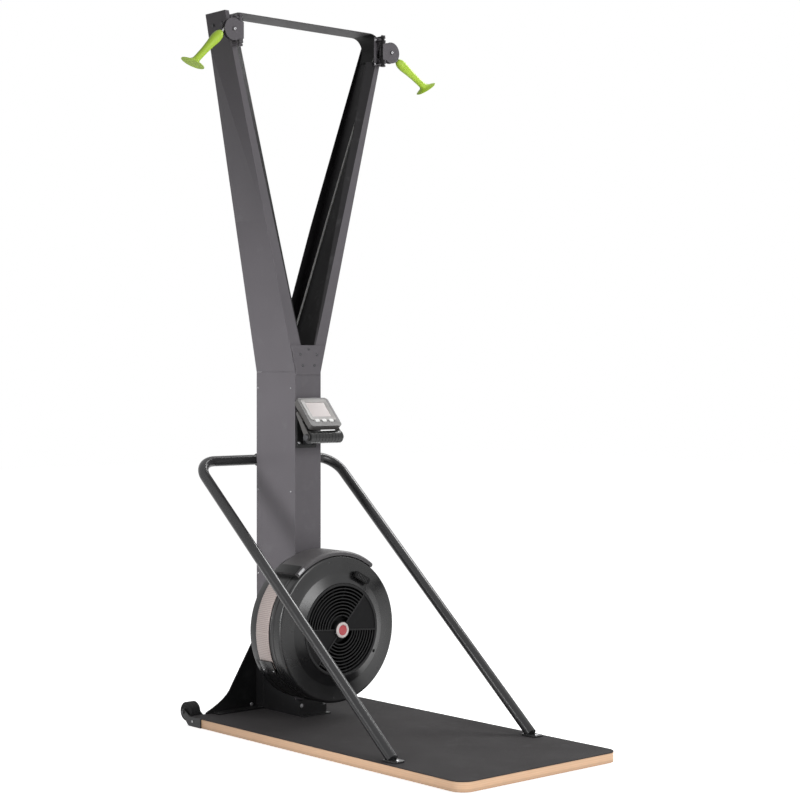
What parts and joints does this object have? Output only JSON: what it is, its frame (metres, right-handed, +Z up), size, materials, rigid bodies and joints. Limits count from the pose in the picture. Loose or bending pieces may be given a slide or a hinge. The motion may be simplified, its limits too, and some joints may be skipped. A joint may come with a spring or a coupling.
{
  "type": "ski trainer machine",
  "caption": "Standing ski trainer: steel post with two spreading arms, swivelling pulley heads with pull handles, an air fan with damper, a hand rail and a board with wheels.",
  "frame": {"origin": "on the floor under the middle of the base board", "axes": "+X to the user's right when facing the machine from the board's free end turned round, +Y from the board's free end to the post, +Z up"},
  "size_m": [0.979, 1.263, 2.148],
  "materials": {
    "graphite": "satin powder coat",
    "black_steel": "satin powder coat",
    "black_plastic": "satin",
    "rubber": "matte",
    "mat": "fine grain",
    "board": "laminated edge, clear coat",
    "band": "satin",
    "lime": "satin",
    "steel": "turned",
    "cord": "braided",
    "monitor_grey": "satin",
    "screen": "gloss",
    "keys": "satin",
    "hub_red": "gloss"
  },
  "bodies": {
    "frame": {"post_channel": "graphite", "post_rear_cover": "graphite", "arm_left": "graphite", "arm_right": "graphite", "yoke_plate": "graphite", "head_bracket_left": "graphite", "head_bracket_right": "graphite", "wheel_bracket_left": "black_steel", "wheel_bracket_right": "black_steel", "flare_gusset_left": "black_steel", "flare_gusset_right": "black_steel", "foot_bracket": "black_steel", "top_bridge": "black_steel", "handrail": "black_steel", "rail_strap": "black_steel", "monitor_bracket": "black_steel", "fan_back_shell": "black_plastic", "fan_middle_shell": "black_plastic", "fan_top_cover": "black_plastic", "front_shroud": "black_plastic", "fan_grille": "black_plastic", "battery_tube": "black_plastic", "foot_strip_front": "rubber", "foot_strip_middle": "rubber", "foot_strip_rear": "rubber", "return_bungee": "rubber", "grip_mat": "mat", "base_board": "board", "cage_band_left": "band", "cage_band_right": "band", "bearing_front": "steel", "bearing_rear": "steel", "drive_cord_left": "cord", "drive_cord_right": "cord", "hub_cap": "hub_red"},
    "wheel_left_body": {"wheel_left": "rubber"},
    "wheel_right_body": {"wheel_right": "rubber"},
    "fan": {"impeller": "black_plastic", "fan_shaft": "steel"},
    "damper_body": {"damper": "black_plastic"},
    "head_left": {"swivel_head_left": "graphite"},
    "head_right": {"swivel_head_right": "graphite"},
    "grip_left": {"handle_left": "lime", "handle_cord_left": "cord"},
    "grip_right": {"handle_right": "lime", "handle_cord_right": "cord"},
    "pulley_left": {"head_pulley_left": "black_plastic"},
    "pulley_right": {"head_pulley_right": "black_plastic"},
    "roller_left": {"arm_roller_left": "black_plastic"},
    "roller_right": {"arm_roller_right": "black_plastic"},
    "neck_left": {"neck_roller_left": "black_plastic"},
    "neck_right": {"neck_roller_right": "black_plastic"},
    "drum_left": {"cord_drum_left": "black_plastic"},
    "drum_right": {"cord_drum_right": "black_plastic"},
    "monitor": {"monitor_case": "monitor_grey", "monitor_screen": "screen", "monitor_yoke": "monitor_grey"},
    "button_1": {"monitor_button_1": "keys"},
    "button_2": {"monitor_button_2": "keys"},
    "button_3": {"monitor_button_3": "keys"}
  },
  "joints": [
    {"name": "wheel_spin_left", "type": "hinge", "parent": "frame", "child": "wheel_left_body", "pos_m": [-0.277, 0.634, 0.041], "axis": [1, 0, 0], "continuous": true},
    {"name": "wheel_spin_right", "type": "hinge", "parent": "frame", "child": "wheel_right_body", "pos_m": [0.277, 0.634, 0.041], "axis": [1, 0, 0], "continuous": true},
    {"name": "fan_spin", "type": "hinge", "parent": "frame", "child": "fan", "pos_m": [0, 0.33, 0.304], "axis": [0, 1, 0], "continuous": true},
    {"name": "damper_turn", "type": "hinge", "parent": "frame", "child": "damper_body", "pos_m": [0, 0.2655, 0.304], "axis": [0, -1, 0], "range_deg": [0, 50]},
    {"name": "swivel_left", "type": "hinge", "parent": "frame", "child": "head_left", "pos_m": [-0.279, 0.376, 2.087], "axis": [0, 0, 1], "range_deg": [0, 100]},
    {"name": "pull_left", "type": "slide", "parent": "head_left", "child": "grip_left", "axis": [-0.7009, 0, -0.7132], "range_m": [0, 1.2], "stiffness_N_per_m": 12, "springref_m": -0.7},
    {"name": "pulley_turn_left", "type": "hinge", "parent": "head_left", "child": "pulley_left", "pos_m": [-0.307, 0.376, 2.087], "axis": [0, 1, 0], "range_deg": [-3248, 0]},
    {"name": "roller_turn_left", "type": "hinge", "parent": "frame", "child": "roller_left", "pos_m": [-0.28296, 0.405, 2.085], "axis": [0.9674, 0, 0.2534], "range_deg": [0, 5190]},
    {"name": "neck_turn_left", "type": "hinge", "parent": "frame", "child": "neck_left", "pos_m": [-0.025, 0.424, 1.04], "axis": [0, 1, 0], "range_deg": [-4514, 0]},
    {"name": "drum_turn_left", "type": "hinge", "parent": "frame", "child": "drum_left", "pos_m": [0, 0.424, 0.304], "axis": [0, 1, 0], "range_deg": [0, 2971]},
    {"name": "swivel_right", "type": "hinge", "parent": "frame", "child": "head_right", "pos_m": [0.279, 0.376, 2.087], "axis": [0, 0, 1], "range_deg": [-100, 0]},
    {"name": "pull_right", "type": "slide", "parent": "head_right", "child": "grip_right", "axis": [0.8526, 0, -0.5225], "range_m": [0, 1.2], "stiffness_N_per_m": 12, "springref_m": -0.7},
    {"name": "pulley_turn_right", "type": "hinge", "parent": "head_right", "child": "pulley_right", "pos_m": [0.307, 0.376, 2.087], "axis": [0, 1, 0], "range_deg": [0, 3248]},
    {"name": "roller_turn_right", "type": "hinge", "parent": "frame", "child": "roller_right", "pos_m": [0.28296, 0.405, 2.085], "axis": [0.9674, 0, -0.2534], "range_deg": [0, 5190]},
    {"name": "neck_turn_right", "type": "hinge", "parent": "frame", "child": "neck_right", "pos_m": [0.025, 0.56, 1.04], "axis": [0, 1, 0], "range_deg": [0, 4514]},
    {"name": "drum_turn_right", "type": "hinge", "parent": "frame", "child": "drum_right", "pos_m": [0, 0.56, 0.304], "axis": [0, 1, 0], "range_deg": [-2971, 0]},
    {"name": "monitor_tilt", "type": "hinge", "parent": "frame", "child": "monitor", "pos_m": [0, 0.327, 0.881], "axis": [1, 0, 0], "range_deg": [0, 35]},
    {"name": "button_press_1", "type": "slide", "parent": "monitor", "child": "button_1", "axis": [0, 0.7373, -0.6756], "range_m": [0, 0.0012], "stiffness_N_per_m": 600, "springref_m": -0.0015},
    {"name": "button_press_2", "type": "slide", "parent": "monitor", "child": "button_2", "axis": [0, 0.7373, -0.6756], "range_m": [0, 0.0012], "stiffness_N_per_m": 600, "springref_m": -0.0015},
    {"name": "button_press_3", "type": "slide", "parent": "monitor", "child": "button_3", "axis": [0, 0.7373, -0.6756], "range_m": [0, 0.0012], "stiffness_N_per_m": 600, "springref_m": -0.0015}
  ],
  "couplings": [
    {"joint": "pulley_turn_left", "follows": "pull_left", "rad_per_m": -46.948},
    {"joint": "roller_turn_left", "follows": "pull_left", "rad_per_m": 75.188},
    {"joint": "neck_turn_left", "follows": "pull_left", "rad_per_m": -65.359},
    {"joint": "drum_turn_left", "follows": "pull_left", "rad_per_m": 42.918},
    {"joint": "pulley_turn_right", "follows": "pull_right", "rad_per_m": 46.948},
    {"joint": "roller_turn_right", "follows": "pull_right", "rad_per_m": 75.188},
    {"joint": "neck_turn_right", "follows": "pull_right", "rad_per_m": 65.359},
    {"joint": "drum_turn_right", "follows": "pull_right", "rad_per_m": -42.918}
  ]
}
